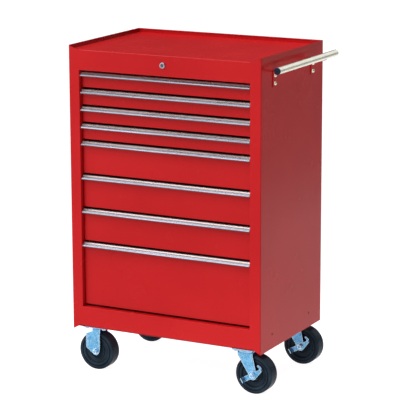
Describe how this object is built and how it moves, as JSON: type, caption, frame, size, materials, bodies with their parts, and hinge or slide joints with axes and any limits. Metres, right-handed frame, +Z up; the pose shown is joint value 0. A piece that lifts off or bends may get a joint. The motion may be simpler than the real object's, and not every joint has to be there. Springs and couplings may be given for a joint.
{
  "type": "rolling tool chest",
  "caption": "Sheet-steel rolling tool cabinet with stacked full-width drawers, aluminium pulls, a side push handle, a cam lock and braked casters.",
  "frame": {"origin": "on the floor, under the middle of the overall bounding box", "axes": "+Z up, -Y towards the drawer fronts, +X towards the side with the push handle"},
  "size_m": [0.7454, 0.464, 1.082],
  "materials": {
    "red_paint": "glossy powder coat",
    "satin_aluminium": "satin anodised",
    "bare_steel": "cold-rolled, zinc flashed",
    "zinc_plate": "blue-passivated zinc plating",
    "chrome": "polished",
    "black_plastic": "moulded",
    "black_screw": "black oxide",
    "wheel_rubber": "semi-matt"
  },
  "bodies": {
    "cabinet": {"side_panel_left": "red_paint", "side_panel_right": "red_paint", "back_panel": "red_paint", "top_tray": "red_paint", "top_rail": "red_paint", "bottom_rail": "red_paint", "bottom_panel": "red_paint", "handle_brackets": "red_paint", "slide_posts": "bare_steel", "slide_cabinet_members": "bare_steel", "handle_tube": "chrome", "handle_bolts": "chrome", "lock_barrel": "chrome", "handle_end_caps": "black_plastic", "side_screws": "black_screw", "caster_plates": "zinc_plate", "caster_bolts": "zinc_plate", "caster_fork_front_left": "zinc_plate", "caster_fork_back_left": "zinc_plate"},
    "lock_plug": {"lock_plug": "chrome"},
    "drawer_1": {"drawer_1_box": "red_paint", "drawer_1_pull": "satin_aluminium", "drawer_1_slides": "bare_steel"},
    "drawer_1_mid": {"drawer_1_mid_slides": "bare_steel"},
    "drawer_2": {"drawer_2_box": "red_paint", "drawer_2_pull": "satin_aluminium", "drawer_2_slides": "bare_steel"},
    "drawer_2_mid": {"drawer_2_mid_slides": "bare_steel"},
    "drawer_3": {"drawer_3_box": "red_paint", "drawer_3_pull": "satin_aluminium", "drawer_3_slides": "bare_steel"},
    "drawer_3_mid": {"drawer_3_mid_slides": "bare_steel"},
    "drawer_4": {"drawer_4_box": "red_paint", "drawer_4_pull": "satin_aluminium", "drawer_4_slides": "bare_steel"},
    "drawer_4_mid": {"drawer_4_mid_slides": "bare_steel"},
    "drawer_5": {"drawer_5_box": "red_paint", "drawer_5_pull": "satin_aluminium", "drawer_5_slides": "bare_steel"},
    "drawer_5_mid": {"drawer_5_mid_slides": "bare_steel"},
    "drawer_6": {"drawer_6_box": "red_paint", "drawer_6_pull": "satin_aluminium", "drawer_6_slides": "bare_steel"},
    "drawer_6_mid": {"drawer_6_mid_slides": "bare_steel"},
    "drawer_7": {"drawer_7_box": "red_paint", "drawer_7_pull": "satin_aluminium", "drawer_7_slides": "bare_steel"},
    "drawer_7_mid": {"drawer_7_mid_slides": "bare_steel"},
    "drawer_8": {"drawer_8_box": "red_paint", "drawer_8_pull": "satin_aluminium", "drawer_8_slides": "bare_steel"},
    "drawer_8_mid": {"drawer_8_mid_slides": "bare_steel"},
    "wheel_front_left": {"wheel_front_left": "wheel_rubber"},
    "wheel_front_right": {"wheel_front_right": "wheel_rubber"},
    "caster_front_right": {"caster_fork_front_right": "zinc_plate"},
    "brake_front_right": {"brake_lever_front_right": "zinc_plate"},
    "wheel_back_left": {"wheel_back_left": "wheel_rubber"},
    "wheel_back_right": {"wheel_back_right": "wheel_rubber"},
    "caster_back_right": {"caster_fork_back_right": "zinc_plate"},
    "brake_back_right": {"brake_lever_back_right": "zinc_plate"}
  },
  "joints": [
    {"name": "lock_turn", "type": "hinge", "parent": "cabinet", "child": "lock_plug", "pos_m": [-0.0283, -0.218, 1.038], "axis": [0, 1, 0], "range_deg": [0, 90]},
    {"name": "drawer_1_slide", "type": "slide", "parent": "cabinet", "child": "drawer_1", "axis": [0, -1, 0], "range_m": [0, 0.38]},
    {"name": "drawer_1_mid_slide", "type": "slide", "parent": "cabinet", "child": "drawer_1_mid", "axis": [0, -1, 0], "range_m": [0, 0.19]},
    {"name": "drawer_2_slide", "type": "slide", "parent": "cabinet", "child": "drawer_2", "axis": [0, -1, 0], "range_m": [0, 0.38]},
    {"name": "drawer_2_mid_slide", "type": "slide", "parent": "cabinet", "child": "drawer_2_mid", "axis": [0, -1, 0], "range_m": [0, 0.19]},
    {"name": "drawer_3_slide", "type": "slide", "parent": "cabinet", "child": "drawer_3", "axis": [0, -1, 0], "range_m": [0, 0.38]},
    {"name": "drawer_3_mid_slide", "type": "slide", "parent": "cabinet", "child": "drawer_3_mid", "axis": [0, -1, 0], "range_m": [0, 0.19]},
    {"name": "drawer_4_slide", "type": "slide", "parent": "cabinet", "child": "drawer_4", "axis": [0, -1, 0], "range_m": [0, 0.38]},
    {"name": "drawer_4_mid_slide", "type": "slide", "parent": "cabinet", "child": "drawer_4_mid", "axis": [0, -1, 0], "range_m": [0, 0.19]},
    {"name": "drawer_5_slide", "type": "slide", "parent": "cabinet", "child": "drawer_5", "axis": [0, -1, 0], "range_m": [0, 0.38]},
    {"name": "drawer_5_mid_slide", "type": "slide", "parent": "cabinet", "child": "drawer_5_mid", "axis": [0, -1, 0], "range_m": [0, 0.19]},
    {"name": "drawer_6_slide", "type": "slide", "parent": "cabinet", "child": "drawer_6", "axis": [0, -1, 0], "range_m": [0, 0.38]},
    {"name": "drawer_6_mid_slide", "type": "slide", "parent": "cabinet", "child": "drawer_6_mid", "axis": [0, -1, 0], "range_m": [0, 0.19]},
    {"name": "drawer_7_slide", "type": "slide", "parent": "cabinet", "child": "drawer_7", "axis": [0, -1, 0], "range_m": [0, 0.38]},
    {"name": "drawer_7_mid_slide", "type": "slide", "parent": "cabinet", "child": "drawer_7_mid", "axis": [0, -1, 0], "range_m": [0, 0.19]},
    {"name": "drawer_8_slide", "type": "slide", "parent": "cabinet", "child": "drawer_8", "axis": [0, -1, 0], "range_m": [0, 0.38]},
    {"name": "drawer_8_mid_slide", "type": "slide", "parent": "cabinet", "child": "drawer_8_mid", "axis": [0, -1, 0], "range_m": [0, 0.19]},
    {"name": "wheel_front_left_spin", "type": "hinge", "parent": "cabinet", "child": "wheel_front_left", "pos_m": [-0.3013, -0.178, 0.0635], "axis": [0, 1, 0], "continuous": true},
    {"name": "caster_front_right_swivel", "type": "hinge", "parent": "cabinet", "child": "caster_front_right", "pos_m": [0.2447, -0.178, 0.146], "axis": [0, 0, 1], "continuous": true},
    {"name": "wheel_front_right_spin", "type": "hinge", "parent": "caster_front_right", "child": "wheel_front_right", "pos_m": [0.2772, -0.178, 0.0635], "axis": [0, 1, 0], "continuous": true},
    {"name": "brake_front_right_press", "type": "hinge", "parent": "caster_front_right", "child": "brake_front_right", "pos_m": [0.2772, -0.178, 0.0635], "axis": [0, 1, 0], "range_deg": [-25, 0]},
    {"name": "wheel_back_left_spin", "type": "hinge", "parent": "cabinet", "child": "wheel_back_left", "pos_m": [-0.3013, 0.182, 0.0635], "axis": [0, 1, 0], "continuous": true},
    {"name": "caster_back_right_swivel", "type": "hinge", "parent": "cabinet", "child": "caster_back_right", "pos_m": [0.2447, 0.182, 0.146], "axis": [0, 0, 1], "continuous": true},
    {"name": "wheel_back_right_spin", "type": "hinge", "parent": "caster_back_right", "child": "wheel_back_right", "pos_m": [0.2772, 0.182, 0.0635], "axis": [0, 1, 0], "continuous": true},
    {"name": "brake_back_right_press", "type": "hinge", "parent": "caster_back_right", "child": "brake_back_right", "pos_m": [0.2772, 0.182, 0.0635], "axis": [0, 1, 0], "range_deg": [-25, 0]}
  ],
  "couplings": [
    {"joint": "drawer_1_mid_slide", "follows": "drawer_1_slide", "ratio": 0.5},
    {"joint": "drawer_2_mid_slide", "follows": "drawer_2_slide", "ratio": 0.5},
    {"joint": "drawer_3_mid_slide", "follows": "drawer_3_slide", "ratio": 0.5},
    {"joint": "drawer_4_mid_slide", "follows": "drawer_4_slide", "ratio": 0.5},
    {"joint": "drawer_5_mid_slide", "follows": "drawer_5_slide", "ratio": 0.5},
    {"joint": "drawer_6_mid_slide", "follows": "drawer_6_slide", "ratio": 0.5},
    {"joint": "drawer_7_mid_slide", "follows": "drawer_7_slide", "ratio": 0.5},
    {"joint": "drawer_8_mid_slide", "follows": "drawer_8_slide", "ratio": 0.5}
  ]
}
